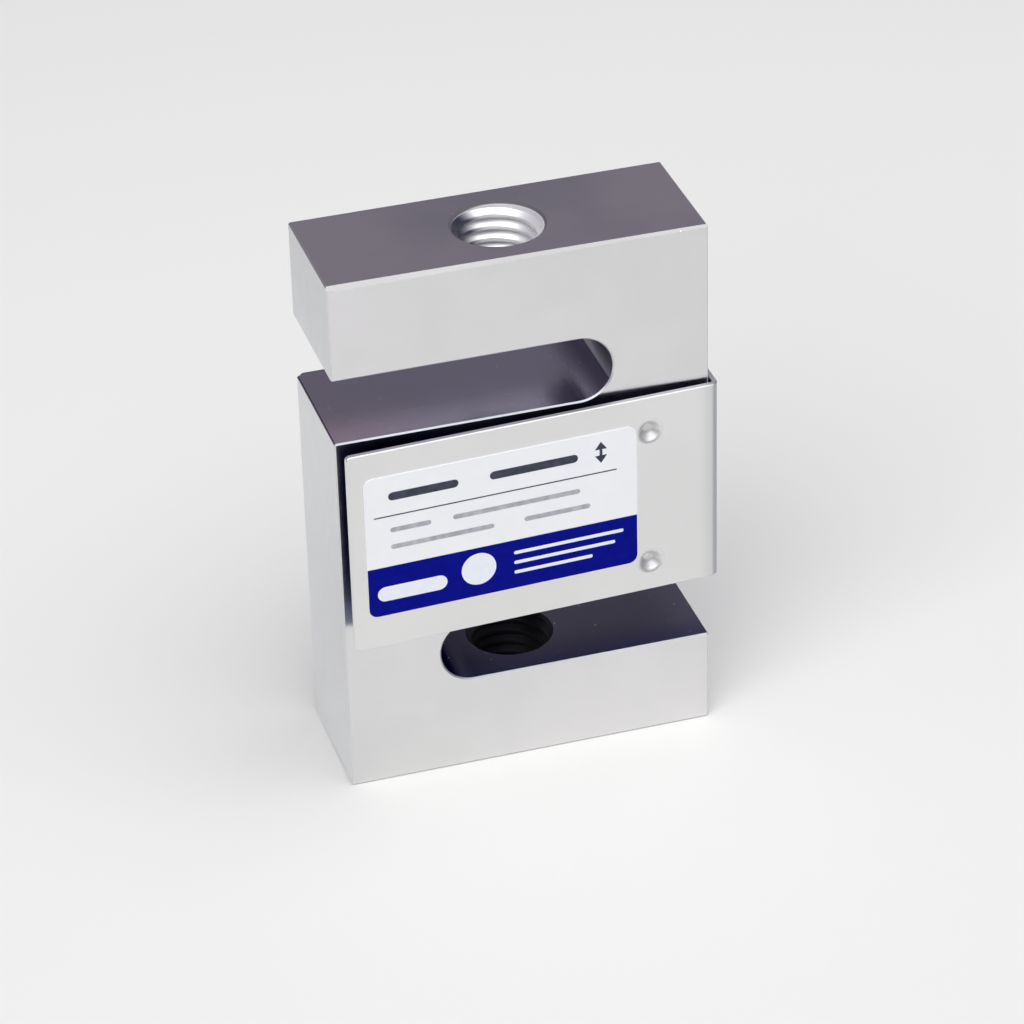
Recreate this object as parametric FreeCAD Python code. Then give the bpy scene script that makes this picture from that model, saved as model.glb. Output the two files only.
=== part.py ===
import FreeCAD, Part
import math
import os

# An S-shaped beam load cell for 500 kg, in millimetres.
# Z is the load axis. The origin is where it leaves the flat underside of the lower arm.
# X runs along the two slots: the upper slot opens towards -X and the lower slot towards +X.
# Y runs through the beam's thickness, and the labelled front faces -Y.

V = FreeCAD.Vector

# Load beam, milled from one block of alloy steel
BEAM_WIDTH = 50.8
BEAM_DEPTH = 19.05
ARM_HEIGHT = 13.6
SLOT_HEIGHT = 9.2
BLOCK_HEIGHT = 30.6
SLOT_LAND = 13.1
EDGE_BREAK = 0.2
BEVEL_LEFT = 0.6
BEVEL_RIGHT = 0.3

# Load threads, M12 by 1.75: the wall stands at the thread's major diameter
THREAD_DIAMETER = 12.0
THREAD_CHAMFER = 0.4

# Gauge window: two bores under thin webs, joined by a flat-sided slot
WEB = 5.3
BORE_SPACING = 16.0
LINK_HEIGHT = 13.0

# Cover, one strip of sheet folded round the beam's right side. The back leg lies on the beam.
# The front leg flares away from it towards the left and is spot-welded through two dimples
SHEET = 0.7
BEND_INSIDE_RADIUS = 0.4
COVER_FLARE = 2.6
COVER_SIDE_GAP = 0.3
COVER_CORNER_GAP = 0.7
COVER_INSET = 0.5
COVER_TOP_GAP = 0.12
COVER_BOTTOM_GAP = 0.88
COVER_CORNER_RADIUS = 0.6
SHEET_EDGE_BREAK = 0.12
DIMPLE_INSET = 8.8
DIMPLE_TOP_MARGIN = 5.15
DIMPLE_BOTTOM_MARGIN = 4.45
DIMPLE_FLOOR = 1.3
DIMPLE_SLOPE = 40.0
DIMPLE_WALL = 0.15
DIMPLE_ROUND = 0.5

# Label, a plastic film stuck to the cover's front
FILM = 0.15
LABEL_SIDE_MARGIN = 2.05
LABEL_TOP_MARGIN = 3.75
LABEL_BOTTOM_MARGIN = 4.8
LABEL_DIMPLE_DISTANCE = 1.85
LABEL_CORNER_RADIUS = 1.3

# Cable inlet in the beam's right side: a pressed bush that holds a rubber seal
CABLE_DIAMETER = 5.0
SEAL_WALL = 1.2
BUSH_WALL = 0.8
BUSH_DEPTH = 4.0
BUSH_LIP = 0.8
LIP_CLEARANCE = 0.3
PASSAGE_CLEARANCE = 0.5
BUSH_CLEARANCE = 0.15

# Strain gauges, bonded to the top and bottom of each bore, with their solder terminals in front
GAUGE_LENGTH = 5.0
GAUGE_WIDTH = 5.0
GAUGE_THICKNESS = 0.1
RIBBON_LENGTH = 0.8
RIBBON_WIDTH = 0.4
RIBBON_SPACING = 1.6
TERMINAL_LENGTH = 4.4
TERMINAL_WIDTH = 2.0
TERMINAL_THICKNESS = 0.7

# Compensation board, glued to the window's right wall below the cable. It carries the resistors,
# and the gauges' flat two-core leads end on it
BOARD_THICKNESS = 0.8
BOARD_WIDTH = 9.0
BOARD_DROP = 3.8
BOARD_GLUE_LINE = 0.1
PAD_MARGIN = 1.0
LEAD_THICKNESS = 0.6
CORE_SPACING = 1.2
TRIM_LENGTH = 2.0
TRIM_WIDTH = 1.25
TRIM_THICKNESS = 0.5
TRIM_SPACING = 2.6
TRIM_COUNT = 4
NICKEL_LENGTH = 3.2
NICKEL_WIDTH = 1.6
NICKEL_THICKNESS = 0.6
NICKEL_SPACING = 4.4
CHIP_ROW_SPACING = 3.0

# Silicone potting, cured slightly below the beam's faces
POTTING_RECESS = 0.3

# How far a cutting tool runs past the face that it opens
OVERSHOOT = 1.0

# How close an edge's place, and how square to an axis a face, has to be to count as found
NEAR = 0.001
SQUARE = 0.9

BEAM_HEIGHT = 2 * (ARM_HEIGHT + SLOT_HEIGHT) + BLOCK_HEIGHT
MIDDLE = BEAM_HEIGHT / 2
LEFT = -BEAM_WIDTH / 2
RIGHT = BEAM_WIDTH / 2
FRONT = -BEAM_DEPTH / 2
BACK = BEAM_DEPTH / 2
BORE_RADIUS = BLOCK_HEIGHT / 2 - WEB
COVER_BOTTOM = MIDDLE - BLOCK_HEIGHT / 2 + COVER_BOTTOM_GAP
COVER_TOP = MIDDLE + BLOCK_HEIGHT / 2 - COVER_TOP_GAP
COVER_LEFT = LEFT + COVER_INSET
COVER_RIGHT = RIGHT + COVER_SIDE_GAP + SHEET
DIMPLE_X = RIGHT - DIMPLE_INSET
SEAL_DIAMETER = CABLE_DIAMETER + 2 * SEAL_WALL
BUSH_DIAMETER = SEAL_DIAMETER + 2 * BUSH_WALL
TERMINAL_FRONT = -GAUGE_WIDTH / 2 - RIBBON_LENGTH - TERMINAL_WIDTH
LEAD_Y = TERMINAL_FRONT + TERMINAL_WIDTH / 2
TERMINAL_FACE = BORE_RADIUS - TERMINAL_THICKNESS
BOARD_TOP = MIDDLE - BOARD_DROP
BOARD_FRONT = LEAD_Y - PAD_MARGIN

# The four gauge stations: name, side along X and side along Z
STATIONS = [
    ("upper_left", -1, 1),
    ("upper_right", 1, 1),
    ("lower_left", -1, -1),
    ("lower_right", 1, -1),
]


def box(low, high):
    """Block between two opposite corners, given in any order."""
    corner = V(min(low[0], high[0]), min(low[1], high[1]), min(low[2], high[2]))
    return Part.makeBox(abs(high[0] - low[0]), abs(high[1] - low[1]), abs(high[2] - low[2]), corner)


def joined(shapes):
    """One clean solid from shapes that touch or overlap."""
    return shapes[0].fuse(shapes[1:]).removeSplitter().Solids[0]


def rim(faces):
    """Edges that only one of these faces has."""
    edges = [edge for face in faces for edge in face.Edges]
    return [edge for edge in edges if sum(edge.isSame(other) for other in edges) == 1]


# ---- load beam -------------------------------------------------------------------------------


def beam_blank():
    """The S outline, half drawn and half turned about the centre, extruded through the thickness."""
    slot_radius = SLOT_HEIGHT / 2
    slot_axis = ARM_HEIGHT + slot_radius
    slot_end = LEFT + SLOT_LAND
    slot_centre = slot_end + slot_radius
    block_bottom = ARM_HEIGHT + SLOT_HEIGHT
    below = V(slot_centre, FRONT, ARM_HEIGHT)
    tip = V(slot_end, FRONT, slot_axis)
    above = V(slot_centre, FRONT, block_bottom)
    half = [
        Part.makeLine(V(LEFT, FRONT, 0), V(RIGHT, FRONT, 0)),
        Part.makeLine(V(RIGHT, FRONT, 0), V(RIGHT, FRONT, ARM_HEIGHT)),
        Part.makeLine(V(RIGHT, FRONT, ARM_HEIGHT), below),
        Part.Arc(below, tip, above).toShape(),
        Part.makeLine(above, V(RIGHT, FRONT, block_bottom)),
        Part.makeLine(V(RIGHT, FRONT, block_bottom), V(RIGHT, FRONT, BEAM_HEIGHT)),
    ]
    turned = [edge.rotated(V(0, FRONT, MIDDLE), V(0, 1, 0), 180) for edge in half]
    return Part.Face(Part.Wire(half + turned)).extrude(V(0, BEAM_DEPTH, 0))


def edges_broken(blank):
    """Small chamfers on every sharp edge. The slot ends meet their flats smoothly and have none."""
    sharp = []
    for edge in blank.Edges:
        centre = edge.CenterOfMass
        if abs(abs(centre.y) - BACK) < NEAR or abs(abs(centre.x) - RIGHT) < NEAR:
            sharp.append(edge)
    return blank.makeChamfer(EDGE_BREAK, sharp)


def top_bevel():
    """Wedge off the top front edge, dressed by hand and so wider at its left end."""
    ends = []
    for x, size in ((LEFT, BEVEL_LEFT), (RIGHT, BEVEL_RIGHT)):
        below = V(x, FRONT, BEAM_HEIGHT - size)
        behind = V(x, FRONT + size, BEAM_HEIGHT)
        ends.append([V(x, FRONT, BEAM_HEIGHT), below, behind])
    left, right = ends
    outlines = [left, right]
    for i in range(3):
        j = (i + 1) % 3
        outlines.append([left[i], left[j], right[j], right[i]])
    faces = [Part.Face(Part.makePolygon(points + points[:1])) for points in outlines]
    return Part.makeSolid(Part.makeShell(faces))


def thread_bore(face, inward):
    """Load thread's wall, from its chamfered mouth in an arm's outer face to the slot."""
    radius = THREAD_DIAMETER / 2
    mouth = THREAD_CHAMFER + OVERSHOOT
    start = V(0, 0, face - inward * OVERSHOOT)
    axis = V(0, 0, inward)
    wall = Part.makeCylinder(radius, ARM_HEIGHT + 2 * OVERSHOOT, start, axis)
    return joined([wall, Part.makeCone(radius + mouth, radius, mouth, start, axis)])


def gauge_window(front, back):
    """Two bores along Y and the slot between them, from one depth to another."""
    pieces = []
    for side in (-1, 1):
        start = V(side * BORE_SPACING / 2, front, MIDDLE)
        pieces.append(Part.makeCylinder(BORE_RADIUS, back - front, start, V(0, 1, 0)))
    half_link = LINK_HEIGHT / 2
    reach = BORE_SPACING / 2
    pieces.append(box((-reach, front, MIDDLE - half_link), (reach, back, MIDDLE + half_link)))
    return joined(pieces)


def along_x(radius, start, end):
    """Cylinder on the cable's axis, between two places along X."""
    return Part.makeCylinder(radius, end - start, V(start, 0, MIDDLE), V(1, 0, 0))


def load_beam():
    """The finished beam: slots, load threads, gauge window and stepped cable inlet."""
    beam = edges_broken(beam_blank()).cut(top_bevel())
    passage = along_x(CABLE_DIAMETER / 2 + PASSAGE_CLEARANCE, BORE_SPACING / 2, RIGHT + OVERSHOOT)
    bush_seat = along_x(BUSH_DIAMETER / 2, RIGHT - BUSH_DEPTH, RIGHT + OVERSHOOT)
    window = gauge_window(FRONT - OVERSHOOT, BACK + OVERSHOOT)
    threads = [thread_bore(0, 1), thread_bore(BEAM_HEIGHT, -1)]
    return beam.cut(threads + [window, passage, bush_seat])


# ---- cover and label -------------------------------------------------------------------------


def leg_inside(x):
    """Distance from the beam's middle plane to the inside of the cover's front leg."""
    return BACK + COVER_CORNER_GAP + (RIGHT - x) * math.tan(math.radians(COVER_FLARE))


def leg_outside(x):
    return leg_inside(x) + SHEET / math.cos(math.radians(COVER_FLARE))


def upright_edges(strip, x):
    """Edges that run the strip's whole height at one place along X."""
    height = COVER_TOP - COVER_BOTTOM
    return [e for e in strip.Edges if abs(e.CenterOfMass.x - x) < NEAR and abs(e.Length - height) < NEAR]


def folded_sheet():
    """U-shaped strip seen from above, with its two bends and its rounded free corners."""
    inner_right = COVER_RIGHT - SHEET
    outline = [
        V(COVER_LEFT, -leg_outside(COVER_LEFT), COVER_BOTTOM),
        V(COVER_RIGHT, -leg_outside(COVER_RIGHT), COVER_BOTTOM),
        V(COVER_RIGHT, BACK + SHEET, COVER_BOTTOM),
        V(COVER_LEFT, BACK + SHEET, COVER_BOTTOM),
        V(COVER_LEFT, BACK, COVER_BOTTOM),
        V(inner_right, BACK, COVER_BOTTOM),
        V(inner_right, -leg_inside(inner_right), COVER_BOTTOM),
        V(COVER_LEFT, -leg_inside(COVER_LEFT), COVER_BOTTOM),
    ]
    strip = Part.Face(Part.makePolygon(outline + outline[:1])).extrude(V(0, 0, COVER_TOP - COVER_BOTTOM))
    outer_bends = upright_edges(strip, COVER_RIGHT)
    strip = strip.makeFillet(BEND_INSIDE_RADIUS + SHEET, outer_bends)
    inner_bends = upright_edges(strip, inner_right)
    strip = strip.makeFillet(BEND_INSIDE_RADIUS, inner_bends)
    free_ends = [e for e in strip.Edges if abs(e.CenterOfMass.x - COVER_LEFT) < NEAR]
    corners = [e for e in free_ends if e.Length < 2 * SHEET]
    return strip.makeFillet(COVER_CORNER_RADIUS, corners)


def outer_skin(strip):
    """The faces that look away from the beam: both legs, the side and the two bends."""
    skin = []
    for face in strip.Faces:
        centre = face.CenterOfMass
        if face.Surface.TypeId == "Part::GeomCylinder":
            away = abs(face.Surface.Radius - BEND_INSIDE_RADIUS - SHEET) < NEAR
        else:
            normal = face.normalAt(0, 0)
            away = normal.x > SQUARE and centre.x > COVER_RIGHT - SHEET / 2
            away = away or normal.y * math.copysign(1, centre.y) > SQUARE
        if away:
            skin.append(face)
    return skin


def on_front(shape):
    """Puts a shape drawn on the plane y = 0, with -Y outwards, on the front leg's outside."""
    return shape.rotated(V(0, 0, 0), V(0, 0, 1), COVER_FLARE).translated(V(0, -leg_outside(0), 0))


def leg_gap():
    """Space between the beam and the front leg beside a dimple."""
    return (leg_inside(DIMPLE_X) - BACK) * math.cos(math.radians(COVER_FLARE))


def dimple_cone(level, bottom_radius, bottom, top):
    """Cone that widens outwards, between two depths under the front leg's outside."""
    top_radius = bottom_radius + (bottom - top) * math.tan(math.radians(DIMPLE_SLOPE))
    start = V(DIMPLE_X / math.cos(math.radians(COVER_FLARE)), bottom, level)
    return on_front(Part.makeCone(bottom_radius, top_radius, bottom - top, start, V(0, -1, 0)))


def dimpled(strip):
    """Presses two dimples in and rounds their rims and floors. Each lies flat on the beam, welded."""
    beam = box((LEFT, FRONT, COVER_BOTTOM), (RIGHT, BACK, COVER_TOP))
    bosses = []
    dishes = []
    for level in (COVER_BOTTOM + DIMPLE_BOTTOM_MARGIN, COVER_TOP - DIMPLE_TOP_MARGIN):
        foot = SHEET + leg_gap() + DIMPLE_WALL
        bosses.append(dimple_cone(level, DIMPLE_FLOOR / 2 + DIMPLE_WALL, foot, SHEET / 2).cut(beam))
        dishes.append(dimple_cone(level, DIMPLE_FLOOR / 2, leg_gap(), -OVERSHOOT))
    pressed = strip.fuse(bosses).cut(dishes)
    rims = []
    for face in pressed.Faces:
        rings = [edge for edge in face.Edges if edge.isClosed()]
        dish = face.Surface.TypeId == "Part::GeomCone" and face.CenterOfMass.y < FRONT - SHEET
        if dish:
            rims.extend(rings)
    return pressed.makeFillet(DIMPLE_ROUND, rims)


def gauge_cover():
    """Folded and dimpled strip with its outer edges broken and a hole for the cable bush."""
    strip = folded_sheet()
    strip = strip.makeChamfer(SHEET_EDGE_BREAK, rim(outer_skin(strip)))
    hole = along_x(BUSH_DIAMETER / 2 + BUSH_CLEARANCE, RIGHT, COVER_RIGHT + OVERSHOOT)
    return dimpled(strip).cut(hole)


def label():
    """Film with rounded corners, between the cover's left end and its dimples."""
    left = COVER_LEFT + LABEL_SIDE_MARGIN
    right = DIMPLE_X - LABEL_DIMPLE_DISTANCE
    bottom = COVER_BOTTOM + LABEL_BOTTOM_MARGIN
    top = COVER_TOP - LABEL_TOP_MARGIN
    film = box((left, -FILM, bottom), (right, 0, top))
    film = film.makeFillet(LABEL_CORNER_RADIUS, [e for e in film.Edges if abs(e.Length - FILM) < NEAR])
    return on_front(film)


# ---- cable inlet -----------------------------------------------------------------------------


def cable_bush():
    """Ring pressed into the beam, flush with the cover, with a lip that keeps the seal in."""
    start = RIGHT - BUSH_DEPTH
    ring = along_x(BUSH_DIAMETER / 2, start, COVER_RIGHT)
    seat = along_x(SEAL_DIAMETER / 2, start, COVER_RIGHT - BUSH_LIP)
    mouth = along_x(CABLE_DIAMETER / 2 + LIP_CLEARANCE, start, COVER_RIGHT)
    return ring.cut([seat, mouth])


def cable_seal():
    """Rubber sleeve between the bush's lip and the step in the beam."""
    start = RIGHT - BUSH_DEPTH
    end = COVER_RIGHT - BUSH_LIP
    return along_x(SEAL_DIAMETER / 2, start, end).cut(along_x(CABLE_DIAMETER / 2, start, end))


# ---- gauges, terminals and leads -------------------------------------------------------------


def bore_at(side, clearance=0):
    """One of the two bores as a solid, with room left round it."""
    start = V(side * BORE_SPACING / 2, FRONT, MIDDLE)
    return Part.makeCylinder(BORE_RADIUS - clearance, BEAM_DEPTH, start, V(0, 1, 0))


def strain_gauge(side, up):
    """Foil gauge that follows the bore's wall, with two ribbons that reach its terminal."""
    centre = side * BORE_SPACING / 2
    wall = bore_at(side).cut(bore_at(side, GAUGE_THICKNESS))
    end = MIDDLE + up * BORE_RADIUS
    half = GAUGE_WIDTH / 2
    shapes = [box((centre - GAUGE_LENGTH / 2, -half, MIDDLE), (centre + GAUGE_LENGTH / 2, half, end))]
    for way in (-1, 1):
        ribbon = centre + way * RIBBON_SPACING / 2
        low = (ribbon - RIBBON_WIDTH / 2, -half - RIBBON_LENGTH, MIDDLE)
        high = (ribbon + RIBBON_WIDTH / 2, -half, end)
        shapes.append(box(low, high))
    return wall.common(joined(shapes)).Solids[0]


def terminal(side, up):
    """Solder terminal strip, curved underneath to sit on the bore's wall and flat on top."""
    centre = side * BORE_SPACING / 2
    half = TERMINAL_LENGTH / 2
    low = (centre - half, TERMINAL_FRONT, MIDDLE + up * TERMINAL_FACE)
    high = (centre + half, TERMINAL_FRONT + TERMINAL_WIDTH, MIDDLE + up * BORE_RADIUS)
    return bore_at(side).common(box(low, high)).Solids[0]


def lead_pair(side, up):
    """Flat two-core lead, straight from a terminal's flat to the board. Each core has a rounded edge."""
    x = side * BORE_SPACING / 2
    board_end = BOARD_TOP if up > 0 else BOARD_TOP - BOARD_THICKNESS
    bottom, top = sorted((board_end, MIDDLE + up * TERMINAL_FACE))
    half_pitch = CORE_SPACING / 2
    radius = LEAD_THICKNESS / 2
    pieces = [box((x - half_pitch, LEAD_Y - radius, bottom), (x + half_pitch, LEAD_Y + radius, top))]
    for way in (-1, 1):
        pieces.append(Part.makeCylinder(radius, top - bottom, V(x + way * half_pitch, LEAD_Y, bottom)))
    return joined(pieces)


# ---- compensation board ----------------------------------------------------------------------


def compensation_board():
    """Board whose right end follows the bore's wall, with a line of glue between them."""
    left = -(BORE_SPACING + CORE_SPACING) / 2 - PAD_MARGIN
    reach = BORE_SPACING / 2 + BORE_RADIUS
    bottom = BOARD_TOP - BOARD_THICKNESS
    blank = box((left, BOARD_FRONT, bottom), (reach, BOARD_FRONT + BOARD_WIDTH, BOARD_TOP))
    link = box((left, FRONT, bottom), (BORE_SPACING / 2, BACK, BOARD_TOP))
    room = joined([bore_at(1, BOARD_GLUE_LINE), link])
    return blank.common(room).Solids[0]


def chip_row(y, count, spacing, length, width, thickness):
    """Flat components in a row along the top of the board, centred on the load axis."""
    chips = []
    for i in range(count):
        x = spacing * (i - (count - 1) / 2)
        low = (x - length / 2, y - width / 2, BOARD_TOP)
        chips.append(box(low, (x + length / 2, y + width / 2, BOARD_TOP + thickness)))
    return Part.makeCompound(chips)


def trim_resistors():
    """Four chips that set the zero and the span."""
    y = BOARD_FRONT + BOARD_WIDTH / 2 + CHIP_ROW_SPACING / 2
    return chip_row(y, TRIM_COUNT, TRIM_SPACING, TRIM_LENGTH, TRIM_WIDTH, TRIM_THICKNESS)


def nickel_resistors():
    """Pair that follows the beam's temperature."""
    y = BOARD_FRONT + BOARD_WIDTH / 2 - CHIP_ROW_SPACING / 2
    return chip_row(y, 2, NICKEL_SPACING, NICKEL_LENGTH, NICKEL_WIDTH, NICKEL_THICKNESS)


# ---- assembly --------------------------------------------------------------------------------


def potting(inner_pieces):
    """Silicone that fills the window round everything in it."""
    fill = gauge_window(FRONT + POTTING_RECESS, BACK - POTTING_RECESS)
    return fill.cut(inner_pieces).Solids[0]


def inner_parts():
    """Everything inside the window, by name."""
    parts = {
        "compensation_board": compensation_board(),
        "trim_resistors": trim_resistors(),
        "nickel_resistors": nickel_resistors(),
    }
    for name, side, up in STATIONS:
        parts["strain_gauge_" + name] = strain_gauge(side, up)
        parts["gauge_terminal_" + name] = terminal(side, up)
        parts["lead_pair_" + name] = lead_pair(side, up)
    return parts


def all_parts():
    inner = inner_parts()
    parts = {
        "load_beam": load_beam(),
        "gauge_cover": gauge_cover(),
        "label": label(),
        "cable_bush": cable_bush(),
        "cable_seal": cable_seal(),
        "potting": potting(list(inner.values())),
    }
    parts.update(inner)
    return parts


os.makedirs("parts", exist_ok=True)
for node, shape in all_parts().items():
    shape.exportStep("parts/" + node + ".step")
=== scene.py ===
import math

import bmesh
import bpy
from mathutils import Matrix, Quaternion, Vector


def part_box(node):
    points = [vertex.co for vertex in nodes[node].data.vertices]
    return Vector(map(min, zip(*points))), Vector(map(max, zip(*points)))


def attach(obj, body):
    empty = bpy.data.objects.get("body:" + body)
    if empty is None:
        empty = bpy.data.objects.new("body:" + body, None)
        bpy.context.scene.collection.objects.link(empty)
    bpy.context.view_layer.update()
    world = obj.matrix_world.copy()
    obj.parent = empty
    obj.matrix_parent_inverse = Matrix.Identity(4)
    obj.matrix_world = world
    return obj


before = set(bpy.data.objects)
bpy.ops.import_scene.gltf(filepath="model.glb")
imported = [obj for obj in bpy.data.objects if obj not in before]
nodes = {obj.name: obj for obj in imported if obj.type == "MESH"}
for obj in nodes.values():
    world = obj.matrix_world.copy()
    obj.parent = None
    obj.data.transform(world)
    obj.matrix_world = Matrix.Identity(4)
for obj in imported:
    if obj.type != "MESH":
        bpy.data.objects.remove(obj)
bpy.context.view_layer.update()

# ---- studio ----------------------------------------------------------------------------------
# A plain pale table, lit by two wide soft panels, one high at the front left and one overhead. The
# room round them is dim, which is what the upward faces of the plating show.

TABLE_SIZE = 3.0
TABLE_NEAR = (0.79, 0.795, 0.772, 1)
TABLE_FAR = (0.965, 0.97, 0.92, 1)
TABLE_PALES = (-0.2, 0.35)
ROOM_LOW = (0.26, 0.25, 0.28, 1)
ROOM_HIGH = (0.15, 0.14, 0.19, 1)
ROOM_DARKENS = (0.2, 0.9)
# name, place, what it points at, width, depth, watts
LAMPS = [
    ("key", (-0.62, -0.62, 0.85), (0, -0.02, 0.03), 0.8, 0.8, 6.5),
    ("overhead", (0.14, -0.27, 0.82), (0, -0.02, 0.04), 0.95, 0.85, 6.2),
]
CAMERA_PLACE = (-0.1381, -0.47522, 0.33722)
CAMERA_AIM = (0.00086, 0, 0.03239)
CAMERA_ROLL = -1.63
CAMERA_LENS = 152.55
CAMERA_SENSOR = 36
CAMERA_SEES = (0.01, 20)


def new_tree(name):
    """An empty node material and its tree."""
    material = bpy.data.materials.new(name)
    material.use_nodes = True
    material.node_tree.nodes.clear()
    return material, material.node_tree


def node(tree, kind, **values):
    """A node with its sockets and properties set by name. A value that is a socket is linked."""
    made = tree.nodes.new(kind)
    for key, value in values.items():
        key = key.replace("_", " ") if key[0].isupper() else key
        if isinstance(value, bpy.types.NodeSocket):
            tree.links.new(value, made.inputs[key])
        elif key in made.inputs:
            made.inputs[key].default_value = value
        else:
            setattr(made, key, value)
    return made


def surface(tree, shader):
    """Makes a shader the material's surface."""
    node(tree, "ShaderNodeOutputMaterial", Surface=shader.outputs[0])


def own_place(tree):
    """The piece's own coordinates."""
    return node(tree, "ShaderNodeTexCoord").outputs["Object"]


def parts(tree, vector):
    """A vector's X, Y and Z."""
    return node(tree, "ShaderNodeSeparateXYZ", Vector=vector).outputs


def mix(tree, factor, under, over):
    """One colour laid over another by a factor."""
    made = node(tree, "ShaderNodeMix", data_type="RGBA")
    tree.links.new(factor, made.inputs["Factor"])
    for socket, value in ((made.inputs[6], under), (made.inputs[7], over)):
        if isinstance(value, bpy.types.NodeSocket):
            tree.links.new(value, socket)
        else:
            socket.default_value = value
    return made.outputs[2]


def ramp(tree, value, start, end, low=0.0, high=1.0):
    """A value spread smoothly from one range to another."""
    made = node(tree, "ShaderNodeMapRange", Value=value, interpolation_type="SMOOTHSTEP")
    for name, number in (("From Min", start), ("From Max", end), ("To Min", low), ("To Max", high)):
        made.inputs[name].default_value = number
    return made.outputs[0]


table_paint, tree = new_tree("table_paint")
away = parts(tree, own_place(tree))["Y"]
paint = mix(tree, ramp(tree, away, *TABLE_PALES), TABLE_NEAR, TABLE_FAR)
surface(tree, node(tree, "ShaderNodeBsdfDiffuse", Color=paint))
bpy.ops.mesh.primitive_plane_add(size=TABLE_SIZE)
table = bpy.context.object
table.name = "table"
table.data.materials.append(table_paint)

world = bpy.data.worlds.new("room")
bpy.context.scene.world = world
world.use_nodes = True
tree = world.node_tree
tree.nodes.clear()
direction = node(tree, "ShaderNodeTexCoord").outputs["Generated"]
upwards = parts(tree, direction)["Z"]
room = mix(tree, ramp(tree, upwards, *ROOM_DARKENS), ROOM_LOW, ROOM_HIGH)
backdrop = node(tree, "ShaderNodeBackground", Strength=1.0, Color=room)
node(tree, "ShaderNodeOutputWorld", Surface=backdrop.outputs[0])

for name, place, aim, width, depth, watts in LAMPS:
    data = bpy.data.lights.new(name, "AREA")
    data.shape = "RECTANGLE"
    data.size = width
    data.size_y = depth
    data.energy = watts
    lamp = bpy.data.objects.new(name, data)
    lamp.location = place
    lamp.rotation_mode = "QUATERNION"
    lamp.rotation_quaternion = (Vector(aim) - Vector(place)).to_track_quat("-Z", "Y")
    bpy.context.scene.collection.objects.link(lamp)

camera_data = bpy.data.cameras.new("camera")
camera_data.lens = CAMERA_LENS
camera_data.sensor_width = CAMERA_SENSOR
camera_data.clip_start, camera_data.clip_end = CAMERA_SEES
camera = bpy.data.objects.new("camera", camera_data)
bpy.context.scene.collection.objects.link(camera)
camera.location = CAMERA_PLACE
camera.rotation_mode = "QUATERNION"
look = (Vector(CAMERA_AIM) - camera.location).to_track_quat("-Z", "Y")
camera.rotation_quaternion = look @ Quaternion((0, 0, 1), math.radians(CAMERA_ROLL))
bpy.context.scene.camera = camera
bpy.context.scene.view_settings.view_transform = "Standard"

# ---- load beam -------------------------------------------------------------------------------
# The S-shaped spring, milled from one block of alloy steel and nickel-plated to a satin shine. Its
# outer faces are ground, with a faint cloud and fine lines along X. The slots and the front behind
# the cover are darkened with painted shade, the faces that look left carry painted shade above and
# painted light below, and the edges, bores and countersinks carry painted light and shade. The
# edges, bores and countersinks are also coarser than the faces.

MM = 0.001
beam_low, beam_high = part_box("load_beam")

# The outer faces, and the cloudier plating on whatever looks straight up.
GROUND_COLOUR = (0.71, 0.713, 0.712, 1)
GROUND_LIGHT = (0.76, 0.749, 0.756, 1)
GRINDING_COLOUR = (0.5, 0.49, 0.51, 1)
TOP_COOL = (0.62, 0.60, 0.65, 1)
TOP_WARM = (0.78, 0.73, 0.76, 1)
SPECK_COLOUR = (0.86, 0.86, 0.88, 1)

# What looks to the left is darker and bluer, a painted shade, with more painted shade towards the
# top and painted light towards the bottom. Each shade has the heights where it starts and is full,
# and its strength.
LEFT_PAINTED_SHADE = (0.61, 0.635, 0.665, 1)
LEFT_STRENGTH = 0.6
LEFT_PAINTED_SHADE_HIGH = (0.50, 0.515, 0.54, 1)
LEFT_PAINTED_LIGHT_LOW = (0.87, 0.88, 0.90, 1)
LEFT_PAINTED_GRADIENTS = [
    (45 * MM, 76 * MM, 0.6, LEFT_PAINTED_SHADE_HIGH),
    (32 * MM, 4 * MM, 0.7, LEFT_PAINTED_LIGHT_LOW),
]
SCUFF_COLOUR = (0.88, 0.88, 0.90, 1)

# The slots, with some slack in their heights, less a thin skin at the beam's two end faces. Their
# colours are painted shade: the lower slot darker towards its end and front and lighter towards its
# mouth, the upper slot lighter, and the round ends and the upper end's roof darkest. An EDGE colour
# is the painted shade that a round end's reflection shows at a grazing angle.
LOWER_SLOT = (13.6 * MM, 22.8 * MM)
SLOT_SLACK = 1.3 * MM
SKIN = 0.05 * MM
PLAIN_EDGE = (1, 1, 1, 1)
LOWER_SLOT_PAINTED_SHADE = (0.205, 0.195, 0.255, 1)
LOWER_MOUTH_PAINTED_LIGHT = (0.30, 0.28, 0.36, 1)
LOWER_FRONT_PAINTED_SHADE = (0.12, 0.12, 0.27, 1)
LOWER_END_PAINTED_SHADE = (0.032, 0.032, 0.075, 1)
LOWER_END_EDGE_SHADE = (0.13, 0.13, 0.25, 1)
# axis, where the shade starts, where it is full, strength, colour
LOWER_SLOT_PAINTED_GRADIENTS = [
    ("X", 1.0 * MM, -10.0 * MM, 0.75, LOWER_END_PAINTED_SHADE),
    ("X", 18 * MM, 26 * MM, 0.7, LOWER_MOUTH_PAINTED_LIGHT),
    ("Y", -4.0 * MM, -9.6 * MM, 0.75, LOWER_FRONT_PAINTED_SHADE),
]
UPPER_SLOT_PAINTED_SHADE = (0.49, 0.47, 0.55, 1)
UPPER_SLOT_PAINTED_SHADE_WARM = (0.53, 0.455, 0.525, 1)
UPPER_END_PAINTED_SHADE = (0.15, 0.135, 0.20, 1)
UPPER_END_EDGE_SHADE = (0.55, 0.52, 0.66, 1)
END_ROOF_PAINTED_SHADE = (0.10, 0.086, 0.13, 1)
END_ROOF_EDGE_SHADE = (0.18, 0.155, 0.235, 1)

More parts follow.
